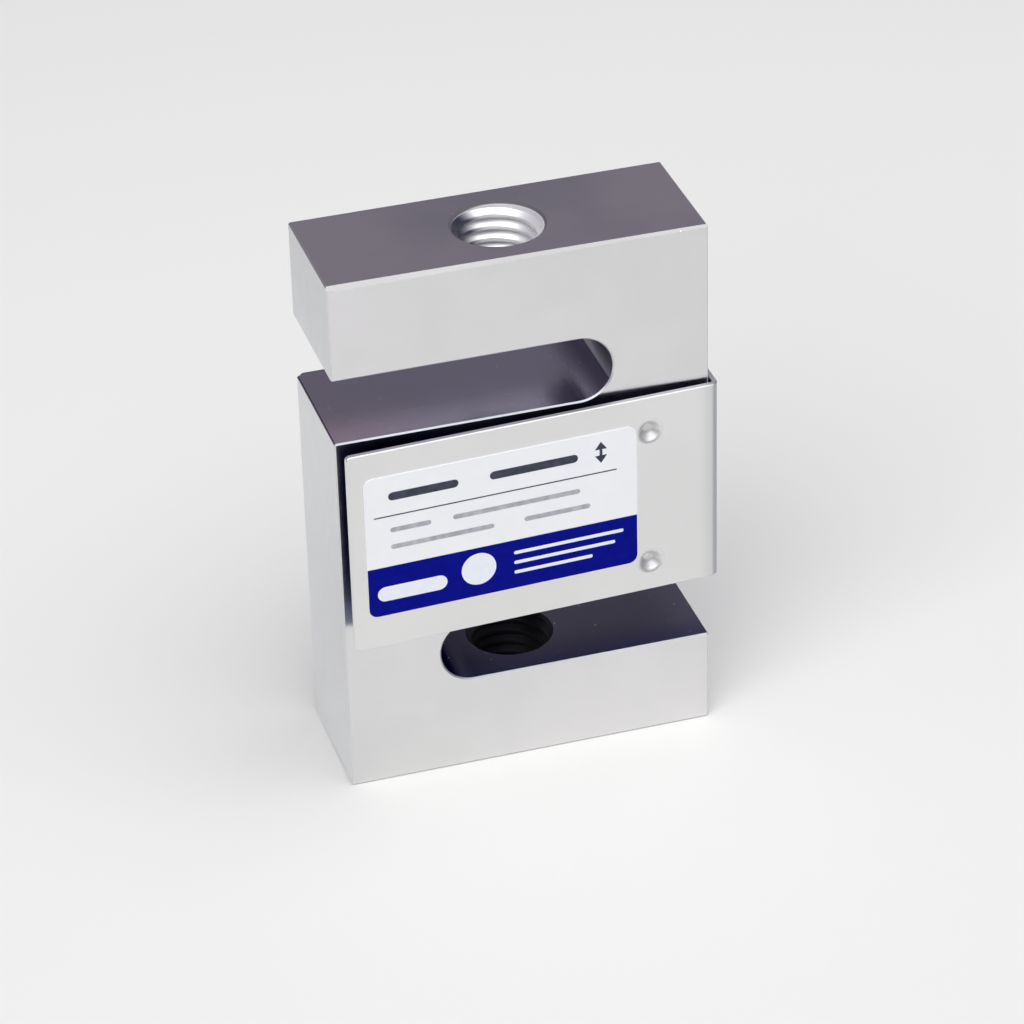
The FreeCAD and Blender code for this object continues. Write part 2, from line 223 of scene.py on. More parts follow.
# Painted shade on the front of the beam where the cover hides it: axis, where the shade starts,
# where it is full.
COVERED_PAINTED_SHADE = (0.14, 0.15, 0.40, 1)
COVERED_PAINTED_GRADIENTS = [
    ("Z", 25 * MM, 38 * MM),
    ("Z", 53.2 * MM, 52.0 * MM),
    ("X", -25.3 * MM, -24.4 * MM),
]

# Broken edges, bores and countersinks, with distances from the load axis.
# Broken edges: painted shade that tones down their highlight, painted light on the upright ones,
# and a painted highlight on the slot edges.
EDGE_PAINTED_SHADE = (0.41, 0.405, 0.405, 1)
UPRIGHT_EDGE_PAINTED_LIGHT = (0.67, 0.67, 0.67, 1)
SLOT_EDGE_PAINTED_HIGHLIGHT = (0.46, 0.475, 0.51, 1)
SLOT_EDGES_BELOW = 65 * MM
LOWER_ARM_BELOW = 30 * MM
# Bores and countersinks: painted light in the upper bore and painted shade in the lower one; each
# countersink lighter on the side that looks left, with painted light, and darker on the other side
# and at its rim, with painted shade, most in the lower arm.
BORE_PAINTED_LIGHT = (0.80, 0.80, 0.82, 1)
BORE_PAINTED_SHADE = (0.03, 0.03, 0.035, 1)
BORE_REACH = 6.2 * MM
SINK_PAINTED_LIGHT = (0.93, 0.92, 0.90, 1)
SINK_PAINTED_SHADE = (0.16, 0.15, 0.19, 1)
SINK_REACH = 7 * MM
SINK_RIM_PAINTED_SHADE = (0.14, 0.13, 0.155, 1)
SINK_RIM_LOW_PAINTED_SHADE = (0.05, 0.05, 0.075, 1)
SINK_RIM_STARTS = (5.95 * MM, 6.15 * MM)

# Parts of a unit normal along an axis: a face that looks along it has more than the first, one
# that runs along it has less than the last, and a broken edge has less than the middle one.
FACE_ON = 0.9
EDGE_ON = 0.95
SIDE_ON = 0.3


def sums(tree, operation, first, second):
    """Arithmetic on two values, each a number or a socket."""
    made = node(tree, "ShaderNodeMath", operation=operation)
    for socket, value in zip(made.inputs, (first, second)):
        if isinstance(value, bpy.types.NodeSocket):
            tree.links.new(value, socket)
        else:
            socket.default_value = value
    return made.outputs[0]


def unsigned(tree, value):
    """A value without its sign."""
    return sums(tree, "ABSOLUTE", value, 0.0)


def above(tree, value, limit):
    """One where a value is over a limit, and nothing elsewhere."""
    return sums(tree, "GREATER_THAN", value, limit)


def below(tree, value, limit):
    """One where a value is under a limit, and nothing elsewhere."""
    return sums(tree, "LESS_THAN", value, limit)


def all_of(tree, first, *others):
    """The product of some factors, which is nothing where one of them is."""
    for other in others:
        first = sums(tree, "MULTIPLY", first, other)
    return first


def between(tree, value, low, high):
    """One where a value lies between two others, and nothing elsewhere."""
    return all_of(tree, above(tree, value, low), below(tree, value, high))


def laid(tree, under, over, *factors):
    """One colour laid over another by the product of some factors."""
    return mix(tree, all_of(tree, *factors), under, over)


def own_normal(tree):
    """The direction that the surface faces."""
    return node(tree, "ShaderNodeNewGeometry").outputs["Normal"]


def noise(tree, vector, **settings):
    """A cloudy value."""
    return node(tree, "ShaderNodeTexNoise", Vector=vector, **settings).outputs["Fac"]


def stretched(tree, scale):
    """The piece's own coordinates, scaled along each axis."""
    return node(tree, "ShaderNodeMapping", Vector=own_place(tree), Scale=scale).outputs[0]


def grain(tree, scale, detail):
    """A cloudy value drawn out along the axes that are scaled the least."""
    return noise(tree, stretched(tree, scale), Scale=1.0, Detail=detail)


def relief(tree, height, strength, depth=0.2 * MM, **settings):
    """The normal of a surface raised by a value."""
    values = {"Height": height, "Strength": strength, "Distance": depth, **settings}
    return node(tree, "ShaderNodeBump", **values).outputs[0]


nickel, tree = new_tree("nickel_plate")
place = own_place(tree)
axes = parts(tree, place)
facing = parts(tree, own_normal(tree))
sideways, across, level = (unsigned(tree, facing[axis]) for axis in "XYZ")

# The ground faces.
cloud = noise(tree, place, Scale=55.0, Detail=3.0, Roughness=0.55)
tint = mix(tree, ramp(tree, cloud, 0.34, 0.66), GROUND_COLOUR, GROUND_LIGHT)
lines = ramp(tree, grain(tree, (60, 2500, 2500), 2.0), 0.3, 0.9, 0.0, 0.06)
tint = laid(tree, tint, GRINDING_COLOUR, lines)
blotch = noise(tree, place, Scale=28.0, Detail=3.0, Roughness=0.5)
top_tint = mix(tree, ramp(tree, blotch, 0.38, 0.64), TOP_COOL, TOP_WARM)
tint = laid(tree, tint, top_tint, above(tree, facing["Z"], FACE_ON))

# The slots, darkened with painted shade. The upper one is the lower one turned half round.
upper_slot = [beam_high[2] - height for height in reversed(LOWER_SLOT)]
not_front_or_back = below(tree, across, SIDE_ON)
within_ends = between(tree, axes["X"], beam_low[0] + SKIN, beam_high[0] - SKIN)
not_front_or_back = all_of(tree, not_front_or_back, within_ends)
in_lower_slot, in_upper_slot = (
    all_of(tree, not_front_or_back, between(tree, axes["Z"], low - SLOT_SLACK, high + SLOT_SLACK))
    for low, high in (LOWER_SLOT, upper_slot)
)
round_end = ramp(tree, sideways, 0.0, 0.8)
at_lower_end = all_of(tree, round_end, in_lower_slot)
at_upper_end = all_of(tree, round_end, in_upper_slot)

# Painted shade in the lower slot, darker towards its end and front, lighter towards its mouth, and
# darkest on its round end, also in the reflection there at a grazing angle.
tint = laid(tree, tint, LOWER_SLOT_PAINTED_SHADE, in_lower_slot)
for axis, start, full, strength, colour in LOWER_SLOT_PAINTED_GRADIENTS:
    shade = ramp(tree, axes[axis], start, full, 0.0, strength)
    tint = laid(tree, tint, colour, shade, in_lower_slot)
tint = laid(tree, tint, LOWER_END_PAINTED_SHADE, at_lower_end)
grazing_shade_tint = laid(tree, PLAIN_EDGE, LOWER_END_EDGE_SHADE, at_lower_end)

# Painted shade in the upper slot, warmer in random blotches, and darkest on its round end and the
# end's roof, also in their reflection at a grazing angle.
warm = ramp(tree, blotch, 0.42, 0.62, 0.0, 0.8)
turned_down = ramp(tree, facing["Z"], 0.62, 0.2)
end_roof = all_of(tree, ramp(tree, sideways, 0.02, 0.30), turned_down, in_upper_slot)
tint = laid(tree, tint, UPPER_SLOT_PAINTED_SHADE, in_upper_slot)
tint = laid(tree, tint, UPPER_SLOT_PAINTED_SHADE_WARM, warm, in_upper_slot)
tint = laid(tree, tint, UPPER_END_PAINTED_SHADE, at_upper_end)
tint = laid(tree, tint, END_ROOF_PAINTED_SHADE, end_roof)
grazing_shade_tint = laid(tree, grazing_shade_tint, UPPER_END_EDGE_SHADE, at_upper_end)
grazing_shade_tint = laid(tree, grazing_shade_tint, END_ROOF_EDGE_SHADE, end_roof)

# Painted shade on what looks to the left, with painted light low down and scuffs, and painted shade
# on the front behind the cover.
to_left = below(tree, facing["X"], -FACE_ON)
tint = laid(tree, tint, LEFT_PAINTED_SHADE, to_left, LEFT_STRENGTH)
for start, full, strength, colour in LEFT_PAINTED_GRADIENTS:
    shade = ramp(tree, axes["Z"], start, full, 0.0, strength)
    tint = laid(tree, tint, colour, to_left, shade)
scuffs = ramp(tree, grain(tree, (1, 2600, 130), 4.0), 0.66, 0.74, 0.0, 0.35)
tint = laid(tree, tint, SCUFF_COLOUR, to_left, scuffs)
# Painted shade on the front where the cover hides it.
covered = [ramp(tree, axes[axis], start, full) for axis, start, full in COVERED_PAINTED_GRADIENTS]
to_front = below(tree, facing["Y"], -FACE_ON)
tint = laid(tree, tint, COVERED_PAINTED_SHADE, *covered, to_front)

# The broken edges, with painted shade on their highlight, painted light where they stand upright
# and a painted highlight on the slot edges.
broken_edge = between(tree, across, SIDE_ON, EDGE_ON)
upright = ramp(tree, facing["Z"], 0.35, 0.1)
edge = mix(tree, below(tree, axes["Z"], SLOT_EDGES_BELOW), EDGE_PAINTED_SHADE, SLOT_EDGE_PAINTED_HIGHLIGHT)
tint = laid(tree, tint, mix(tree, upright, edge, UPRIGHT_EDGE_PAINTED_LIGHT), broken_edge)

# The bores and countersinks, with painted light and painted shade: the upper bore lighter, the
# lower one dark, and each countersink lighter on the side that looks left and darker on the other
# side and at its rim.
flattened = node(tree, "ShaderNodeVectorMath", operation="MULTIPLY", Vector=place)
flattened.inputs[1].default_value = (1, 1, 0)
distance = node(tree, "ShaderNodeVectorMath", operation="LENGTH", Vector=flattened.outputs[0])
from_axis = distance.outputs["Value"]
sunk = all_of(tree, between(tree, level, SIDE_ON, FACE_ON), below(tree, from_axis, SINK_REACH))
in_bore = all_of(tree, below(tree, level, SIDE_ON), below(tree, from_axis, BORE_REACH))
in_lower_arm = below(tree, axes["Z"], LOWER_ARM_BELOW)
tint = laid(tree, tint, mix(tree, in_lower_arm, BORE_PAINTED_LIGHT, BORE_PAINTED_SHADE), in_bore)
sink_tint = mix(tree, ramp(tree, facing["X"], -0.1, 0.45), SINK_PAINTED_LIGHT, SINK_PAINTED_SHADE)
rim_tint = mix(tree, in_lower_arm, SINK_RIM_PAINTED_SHADE, SINK_RIM_LOW_PAINTED_SHADE)
sink_tint = laid(tree, sink_tint, rim_tint, ramp(tree, from_axis, *SINK_RIM_STARTS))
tint = laid(tree, tint, sink_tint, sunk)

# Pin-prick specks, on every face but the front and the back.
grains = node(tree, "ShaderNodeTexVoronoi", Vector=place, Scale=700.0)
speck = ramp(tree, grains.outputs["Distance"], 0.11, 0.04)
rare = above(tree, noise(tree, place, Scale=160.0), 0.50)
tint = laid(tree, tint, SPECK_COLOUR, speck, below(tree, across, FACE_ON), rare)

# The shine. Upright edges, bores and countersinks are less like a mirror than the faces.
roughness = ramp(tree, grain(tree, (90, 400, 400), 3.0), 0.3, 0.7, 0.20, 0.24)
slot_ends = sums(tree, "ADD", at_lower_end, at_upper_end)
for coarse, more in ((broken_edge, 0.28), (sunk, 0.38), (in_bore, 0.3), (slot_ends, 0.16)):
    roughness = sums(tree, "ADD", roughness, all_of(tree, coarse, more))
hollows = sums(tree, "ADD", sunk, in_bore)
dulled = sums(tree, "ADD", all_of(tree, broken_edge, upright), hollows)
lost = all_of(tree, sums(tree, "MINIMUM", dulled, 1.0), 0.7)
shader = node(
    tree,
    "ShaderNodeBsdfPrincipled",
    Base_Color=tint,
    Metallic=sums(tree, "SUBTRACT", 1.0, lost),
    Roughness=roughness,
    Specular_Tint=grazing_shade_tint,
    Normal=relief(tree, grain(tree, (500, 60, 1600), 5.0), 0.012),
)
surface(tree, shader)
nodes["load_beam"].data.materials[0] = nickel

# ---- load threads ----------------------------------------------------------------------------
# M12 by 1.75 threads, tapped right through each arm from its outer face, countersunk there and
# plated with the beam. Only the ridge is added: the bore's wall stands at its roots. The flanks and
# crests are near white with painted light, the crests are torn in places, and the side away from
# the light and the whole lower thread are dark with painted shade.

# Painted light on the flanks and crests, painted shade on the side that faces right and on the
# lower thread.
FLANK_PAINTED_LIGHT = (0.97, 0.97, 0.97, 1)
CREST_PAINTED_LIGHT = (0.97, 0.97, 0.98, 1)
THREAD_TORN = (0.66, 0.66, 0.70, 1)
THREAD_PAINTED_SHADE = (0.05, 0.05, 0.09, 1)
LOWER_THREAD_PAINTED_SHADE = (0.05, 0.05, 0.055, 1)
# How much the shading leans in towards the axis, for each metre away from it.
ROOT_LEAN = 45

# Radii, widths and depths in millimetres.
THREAD_PITCH = 1.75
THREAD_MAJOR = 6.0
THREAD_MINOR = 5.12
THREAD_ROOTING = 0.03
THREAD_LENGTH = 13.6
RIDGE_FOOT = 1.56
RIDGE_CREST = 0.46
CREST_ROUND = 0.16
LEAD_IN = 0.1
FIRST_GROOVE = 0.62
COUNTERSINK = 6.42
OUTER_GAP = 0.05
SLOT_SIDE_BREAK = 6.05
SLOT_SIDE_GAP = 0.01
# How finely the ridge is made, and the angle in degrees past which its edges stay sharp.
STEPS_PER_TURN = 72
CREST_STEPS = 4
SHARP_ANGLE = 35

cut_thread, tree = new_tree("cut_thread")
place = own_place(tree)
normal = own_normal(tree)
facing = parts(tree, normal)
torn = grain(tree, (260, 260, 2600), 4.0)
crest = mix(tree, ramp(tree, torn, 0.4, 0.7), CREST_PAINTED_LIGHT, THREAD_TORN)
# Painted light on the flanks and crests, painted shade on the side that faces right and on the
# lower thread.
on_flank = ramp(tree, facing["Z"], 0.15, 0.6)
tint = mix(tree, on_flank, crest, FLANK_PAINTED_LIGHT)
tint = laid(tree, tint, THREAD_PAINTED_SHADE, ramp(tree, facing["X"], 0.08, 0.5))
tint = laid(tree, tint, LOWER_THREAD_PAINTED_SHADE, below(tree, parts(tree, place)["Z"], LOWER_ARM_BELOW))
lean = node(tree, "ShaderNodeVectorMath", operation="MULTIPLY_ADD")
tree.links.new(place, lean.inputs[0])
lean.inputs[1].default_value = (-ROOT_LEAN, -ROOT_LEAN, 0)
tree.links.new(normal, lean.inputs[2])
leaning = node(tree, "ShaderNodeVectorMath", operation="NORMALIZE", Vector=lean.outputs[0])
shader = node(
    tree,
    "ShaderNodeBsdfPrincipled",
    Base_Color=tint,
    Metallic=sums(tree, "ADD", all_of(tree, on_flank, 0.5), 0.1),
    Roughness=0.4,
    Normal=relief(tree, torn, 0.12, Normal=leaning.outputs[0]),
)
surface(tree, shader)


def helix_tree(material):
    """Geometry Nodes: a trapezoid ridge swept along a helix, with its sizes as named inputs."""
    tree = bpy.data.node_groups.new("thread_ridge", "GeometryNodeTree")
    interface = tree.interface
    interface.new_socket(name="Geometry", in_out="OUTPUT", socket_type="NodeSocketGeometry")
    for name in ("Turns", "Height", "Radius", "Foot", "Crest", "Round", "Rise"):
        interface.new_socket(name=name, in_out="INPUT", socket_type="NodeSocketFloat")
    sizes = node(tree, "NodeGroupInput").outputs
    path = node(
        tree,
        "GeometryNodeCurveSpiral",
        Resolution=STEPS_PER_TURN,
        Rotations=sizes["Turns"],
        Start_Radius=sizes["Radius"],
        End_Radius=sizes["Radius"],
        Height=sizes["Height"],
    )
    upright = node(tree, "GeometryNodeSetCurveNormal", mode="Z_UP", Curve=path.outputs[0])
    outline = node(
        tree,
        "GeometryNodeCurvePrimitiveQuadrilateral",
        mode="TRAPEZOID",
        Offset=0.0,
        Bottom_Width=sizes["Foot"],
        Top_Width=sizes["Crest"],
        Height=sizes["Rise"],
    )
    crest_inwards = (0, 0, math.radians(-90))
    turned = node(
        tree, "GeometryNodeTransform", Geometry=outline.outputs[0], Rotation=crest_inwards
    )
    # The trapezoid's first two corners, 0 and 1, are its crest's.
    at_crest = below(tree, node(tree, "GeometryNodeInputIndex").outputs[0], 1.5)
    eased = node(
        tree,
        "GeometryNodeFilletCurve",
        mode="POLY",
        Curve=turned.outputs[0],
        Count=CREST_STEPS,
        Radius=all_of(tree, at_crest, sizes["Round"]),
    )
    ridge = node(
        tree,
        "GeometryNodeCurveToMesh",
        Curve=upright.outputs[0],
        Profile_Curve=eased.outputs[0],
        Fill_Caps=True,
    )
    real = node(tree, "GeometryNodeRealizeInstances", Geometry=ridge.outputs[0])
    finish = node(
        tree, "GeometryNodeSetMaterial", Geometry=real.outputs[0], Material=material
    )
    node(tree, "NodeGroupOutput", Geometry=finish.outputs[0])
    return tree


def made_by(tree, name, sizes):
    """The plain mesh that a Geometry Nodes tree makes from named sizes."""
    carrier = bpy.data.objects.new(name + "_carrier", bpy.data.meshes.new(name + "_carrier"))
    bpy.context.scene.collection.objects.link(carrier)
    modifier = carrier.modifiers.new("nodes", "NODES")
    modifier.node_group = tree
    for item in tree.interface.items_tree:
        if item.item_type == "SOCKET" and item.in_out == "INPUT" and item.name in sizes:
            modifier[item.identifier] = sizes[item.name]
    bpy.context.view_layer.update()
    evaluated = carrier.evaluated_get(bpy.context.evaluated_depsgraph_get())
    mesh = bpy.data.meshes.new_from_object(evaluated)
    mesh.name = name
    bpy.data.objects.remove(carrier)
    return mesh


def placed(name, mesh):
    """Puts a finished mesh in the scene as a piece of the object."""
    piece = bpy.data.objects.new(name, mesh)
    bpy.context.scene.collection.objects.link(piece)
    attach(piece, "root")
    return piece


rise = THREAD_MAJOR + THREAD_ROOTING - THREAD_MINOR
run = THREAD_LENGTH + RIDGE_FOOT / 2 - LEAD_IN
ridge_sizes = {
    "Turns": run / THREAD_PITCH,
    "Height": run * MM,
    "Radius": (THREAD_MINOR + rise / 2) * MM,
    "Foot": RIDGE_FOOT * MM,
    "Crest": RIDGE_CREST * MM,
    "Round": CREST_ROUND * MM,
    "Rise": rise * MM,
}
ridge = made_by(helix_tree(cut_thread), "thread_ridge", ridge_sizes)
threads = (("upper_thread", beam_high[2], -1), ("lower_thread", beam_low[2], 1))
for name, outer_face, inward in threads:
    mesh = ridge.copy()
    mesh.name = name
    # Turned so that the first groove lies FIRST_GROOVE deep at the back of the bore.
    start = inward * math.tau * ((FIRST_GROOVE - LEAD_IN) / THREAD_PITCH + 0.5)
    for vertex in mesh.vertices:
        depth = vertex.co.z + LEAD_IN * MM
        depth = min(max(depth, OUTER_GAP * MM), (THREAD_LENGTH - SLOT_SIDE_GAP) * MM)
        sink_wall = COUNTERSINK * MM - depth
        slot_side_wall = SLOT_SIDE_BREAK * MM - (THREAD_LENGTH * MM - depth)
        reach = max(math.hypot(vertex.co.x, vertex.co.y), sink_wall, slot_side_wall)
        turn = -inward * math.atan2(vertex.co.y, vertex.co.x) + math.pi / 2 - start
        height = outer_face + inward * depth
        vertex.co = (reach * math.cos(turn), reach * math.sin(turn), height)
    cleaned = bmesh.new()
    cleaned.from_mesh(mesh)
    bmesh.ops.recalc_face_normals(cleaned, faces=cleaned.faces)
    if cleaned.calc_volume(signed=True) < 0:
        bmesh.ops.reverse_faces(cleaned, faces=cleaned.faces)
    cleaned.to_mesh(mesh)
    cleaned.free()
    for polygon in mesh.polygons:
        polygon.use_smooth = True
    mesh.set_sharp_from_angle(angle=math.radians(SHARP_ANGLE))
    placed(name, mesh)

# ---- gauge cover -----------------------------------------------------------------------------
# One strip of sheet steel, nickel-plated, folded round the beam's right side and spot-welded at two
# pressed dimples. Its faces are smooth and its sheared edges coarse. Its inner side, the dimples'
# lower walls, the front bend and the sheared edges off the front leg are darkened with painted
# shade, and the weld spot is painted near white as a highlight.

SHEET_COLOUR = (0.762, 0.762, 0.755, 1)
SHEET_LIGHT = (0.793, 0.793, 0.786, 1)
# Painted shade for the inner side of the front leg.
SHEET_INSIDE_PAINTED_SHADE = (0.20, 0.21, 0.36, 1)
INSIDE_BEYOND = -9.5 * MM
FRONT_LEG_BEYOND = -5 * MM
SHEARED_COLOUR = (0.72, 0.72, 0.74, 1)
# Painted shade for the sheared edges off the front leg.
SHEARED_BACK_PAINTED_SHADE = (0.34, 0.33, 0.36, 1)
SHEARED_FACING = 0.45
# Painted shade for the dimples' walls that look up.
DIMPLE_PAINTED_SHADE = (0.62, 0.62, 0.62, 1)
DIMPLES_X = 16.6 * MM
DIMPLES_MIDDLE = 38.13 * MM
DIMPLES_APART = 20.0 * MM
DIMPLE_RIM = 2.1 * MM
DIMPLE_FLOOR = 1.6 * MM
# The weld spot's colour, near white as a painted highlight.
WELD_SPOT_AND_HIGHLIGHT = (0.99, 0.99, 1.0, 1)
WELD_PLACE = (16.2 * MM, 28.5 * MM)
WELD_RIM = 0.42 * MM
WELD_FLAT = 0.32 * MM
# Painted shade for the front bend.
BEND_PAINTED_SHADE = (0.40, 0.41, 0.445, 1)
BEND_BEYOND = 24.5 * MM
BEND_NEARS = (23.4 * MM, 25.4 * MM)


def squared(tree, first, second):
    """The square of a distance, from its parts along two axes."""
    squares = [sums(tree, "MULTIPLY", part, part) for part in (first, second)]
    return sums(tree, "ADD", *squares)


cover_finish, tree = new_tree("cover_sheet")
place = own_place(tree)
axes = parts(tree, place)
facing = parts(tree, own_normal(tree))
on_front_leg = below(tree, axes["Y"], FRONT_LEG_BEYOND)

# The sheet, and painted shade on the inner side of its front leg.
cloud = noise(tree, place, Scale=45.0, Detail=2.0)
tint = mix(tree, ramp(tree, cloud, 0.35, 0.65), SHEET_COLOUR, SHEET_LIGHT)
inner = above(tree, facing["Y"], SIDE_ON)
tint = laid(tree, tint, SHEET_INSIDE_PAINTED_SHADE, inner, below(tree, axes["Y"], INSIDE_BEYOND))

# The two dimples, whose lower walls look up and are darkened with painted shade to tone down their
# highlight.
aside = sums(tree, "SUBTRACT", axes["X"], DIMPLES_X)
from_middle = unsigned(tree, sums(tree, "SUBTRACT", axes["Z"], DIMPLES_MIDDLE))
beyond = sums(tree, "SUBTRACT", from_middle, DIMPLES_APART / 2)
dimple = ramp(tree, squared(tree, aside, beyond), DIMPLE_RIM**2, DIMPLE_FLOOR**2)
dimple = all_of(tree, dimple, on_front_leg)
tint = laid(tree, tint, DIMPLE_PAINTED_SHADE, dimple, ramp(tree, facing["Z"], 0.03, 0.22))

# The sheared edges, darker off the front leg with painted shade.
sheared = above(tree, unsigned(tree, facing["Z"]), SHEARED_FACING)
sheared = all_of(tree, sheared, sums(tree, "SUBTRACT", 1.0, dimple))
tint = laid(tree, tint, mix(tree, on_front_leg, SHEARED_BACK_PAINTED_SHADE, SHEARED_COLOUR), sheared)

# The spot that the welder's tip left in the lower dimple, painted near white as a highlight.
from_weld = [sums(tree, "SUBTRACT", axes[axis], at) for axis, at in zip("XZ", WELD_PLACE)]
weld = ramp(tree, squared(tree, *from_weld), WELD_RIM**2, WELD_FLAT**2)
weld = all_of(tree, weld, on_front_leg)
tint = laid(tree, tint, WELD_SPOT_AND_HIGHLIGHT, weld)

# Painted shade on the front bend, and on the sheet just before it.
turning = ramp(tree, facing["X"], 0.05, 0.4)
not_turned = ramp(tree, facing["X"], 0.995, 0.9)
at_bend = all_of(tree, on_front_leg, above(tree, axes["X"], BEND_BEYOND))
near_bend = ramp(tree, axes["X"], *BEND_NEARS, 0.0, 0.28)
tint = laid(tree, tint, BEND_PAINTED_SHADE, on_front_leg, near_bend)
tint = laid(tree, tint, BEND_PAINTED_SHADE, turning, not_turned, at_bend)

rolled = grain(tree, (120, 900, 900), 3.0)
roughness = ramp(tree, rolled, 0.3, 0.7, 0.24, 0.27)
for coarse, more in ((sheared, 0.3), (dimple, 0.30), (weld, 0.2)):
    roughness = sums(tree, "ADD", roughness, all_of(tree, coarse, more))
shader = node(
    tree,
    "ShaderNodeBsdfPrincipled",
    Base_Color=tint,
    Metallic=1.0,
    Roughness=roughness,
    Normal=relief(tree, rolled, 0.003),
)
surface(tree, shader)
nodes["gauge_cover"].data.materials[0] = cover_finish

# ---- label -----------------------------------------------------------------------------------
# A white plastic film stuck to the cover's front, with a satin laminate over it. The print is
# generic: a blue field with bars, a rule, grey bars for lines of writing, and a load arrow.

FILM_WHITE = (0.85, 0.868, 0.88, 1)
FILM_LIGHT = (0.87, 0.885, 0.895, 1)
FILM_ROUGHNESS = 0.32
# The colour of each ink where it is full, and where it is thin.
BLUE = (0.0006, 0.003, 0.215, 1), (0.001, 0.005, 0.24, 1)
DARK = (0.045, 0.05, 0.075, 1), (0.07, 0.075, 0.10, 1)
GREY = (0.36, 0.37, 0.40, 1), (0.50, 0.51, 0.54, 1)
WHITE = (0.80, 0.84, 0.90, 1), (0.84, 0.87, 0.92, 1)
INK_ROUGHNESS = 0.34
INK_GLOSS = 0.04
# Sizes in millimetres. A layer of ink is sunk a little in what it is printed on.
INK_THICKNESS = 0.02
INK_SINK = 0.01
BAND_TOP = 7.45
BAND_MARGIN = 0.06
BAND_CORNER = 1.24
DISC_RADIUS = 2.39
ARROW_X = 32.6
ARROW_TIPS = (16.5, 19.7)
ARROW_NECKS = (17.65, 18.55)
ARROW_HEAD_HALF = 0.85
ARROW_SHAFT_HALF = 0.2
# The angle between the cover's front leg and the beam, about Z.
FLARE = math.radians(2.6)

film, tree = new_tree("label_film")
mottle = grain(tree, (300, 300, 300), 2.0)
shader = node(
    tree,
    "ShaderNodeBsdfPrincipled",
    Base_Color=mix(tree, ramp(tree, mottle, 0.3, 0.7), FILM_WHITE, FILM_LIGHT),
    Roughness=FILM_ROUGHNESS,
    Normal=relief(tree, mottle, 0.04),
)
surface(tree, shader)
nodes["label"].data.materials[0] = film


def ink(name, full, thin):
    """Printing ink with slightly uneven cover, under the film's laminate."""
    material, tree = new_tree(name)
    uneven = grain(tree, (900, 900, 900), 3.0)
    shader = node(
        tree,
        "ShaderNodeBsdfPrincipled",
        Base_Color=mix(tree, ramp(tree, uneven, 0.3, 0.75), full, thin),
        Roughness=INK_ROUGHNESS,
        Specular_IOR_Level=INK_GLOSS,
    )
    surface(tree, shader)
    return material


blue_ink = ink("blue_ink", *BLUE)
dark_ink = ink("dark_ink", *DARK)
grey_ink = ink("grey_ink", *GREY)
white_ink = ink("white_ink", *WHITE)

film_low, film_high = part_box("label")
film_width = (film_high[0] - film_low[0]) / math.cos(FLARE) / MM
ALONG = Vector((math.cos(FLARE), math.sin(FLARE), 0))
OUTWARD = Vector((math.sin(FLARE), -math.cos(FLARE), 0))
UP = Vector((0, 0, 1))


def rounded(left, bottom, right, top, radii, steps=5):
    """Outline of a bar on the film in millimetres, with a radius for each corner."""
    # From lower left: place, the way to the bar's middle, and the angle where the arc starts.
    corners = (
        (left, bottom, 1, 1, 180),
        (right, bottom, -1, 1, 270),
        (right, top, -1, -1, 0),
        (left, top, 1, -1, 90),
    )
    points = []
    for (x, z, inward_x, inward_z, start), radius in zip(corners, radii):
        if radius == 0:
            points.append((x, z))
            continue
        for i in range(steps + 1):
            angle = math.radians(start + 90 * i / steps)
            along = x + radius * (inward_x + math.cos(angle))
            up = z + radius * (inward_z + math.sin(angle))
            points.append((along, up))
    return points


def bar(left, bottom, right, top):
    """A bar with round ends."""
    radius = (top - bottom) / 2 * 0.999
    return rounded(left, bottom, right, top, (radius,) * 4)


def printed(name, outlines, material, layer):
    """Flat print on the film, one layer of ink above another."""
    shapes = bmesh.new()
    inner = (layer * (INK_THICKNESS - INK_SINK) - INK_SINK) * MM
    outer = inner + INK_THICKNESS * MM
    for outline in outlines:
        rings = []
        for lift in (inner, outer):
            ring = []
            for along, up in outline:
                point = Vector(film_low) + along * MM * ALONG + up * MM * UP + lift * OUTWARD
                ring.append(shapes.verts.new(point))
            rings.append(ring)
        shapes.faces.new(rings[0])
        shapes.faces.new(rings[1][::-1])
        for i in range(len(outline)):
            j = (i + 1) % len(outline)
            shapes.faces.new((rings[0][i], rings[0][j], rings[1][j], rings[1][i]))
    bmesh.ops.recalc_face_normals(shapes, faces=shapes.faces)
    mesh = bpy.data.meshes.new(name)
    shapes.to_mesh(mesh)
    shapes.free()
    mesh.materials.append(material)
    return placed(name, mesh)


# Each bar has its left, bottom, right and top, in millimetres from the film's lower left corner.
right_edge = film_width - BAND_MARGIN
band_corners = (BAND_CORNER, BAND_CORNER, 0, 0)
band = rounded(BAND_MARGIN, BAND_MARGIN, right_edge, BAND_TOP, band_corners, 8)
printed("label_band", [band], blue_ink, 0)
band_bars = [
    bar(1.3, 2.25, 10.9, 4.45),
    rounded(12.9, 1.8, 17.7, 6.6, (DISC_RADIUS,) * 4, 12),
    bar(20.2, 5.25, 35.6, 5.75),
    bar(20.2, 3.75, 34.4, 4.25),
    bar(20.2, 2.25, 31.2, 2.75),
]
printed("label_band_bars", band_bars, white_ink, 1)
rule = rounded(1.25, 14.98, 34.75, 15.16, (0, 0, 0, 0))
title = [bar(3.3, 17.35, 12.9, 18.55), bar(17.2, 17.35, 29.4, 18.55)]
arrow_left = [
    (-ARROW_HEAD_HALF, ARROW_NECKS[1]),
    (-ARROW_SHAFT_HALF, ARROW_NECKS[1]),
    (-ARROW_SHAFT_HALF, ARROW_NECKS[0]),
    (-ARROW_HEAD_HALF, ARROW_NECKS[0]),
]
arrow_right = [(-x, z) for x, z in reversed(arrow_left)]
arrow = [(0, ARROW_TIPS[1]), *arrow_left, (0, ARROW_TIPS[0]), *arrow_right]
arrow = [(ARROW_X + x, z) for x, z in arrow]
printed("label_title", title + [rule, arrow], dark_ink, 0)
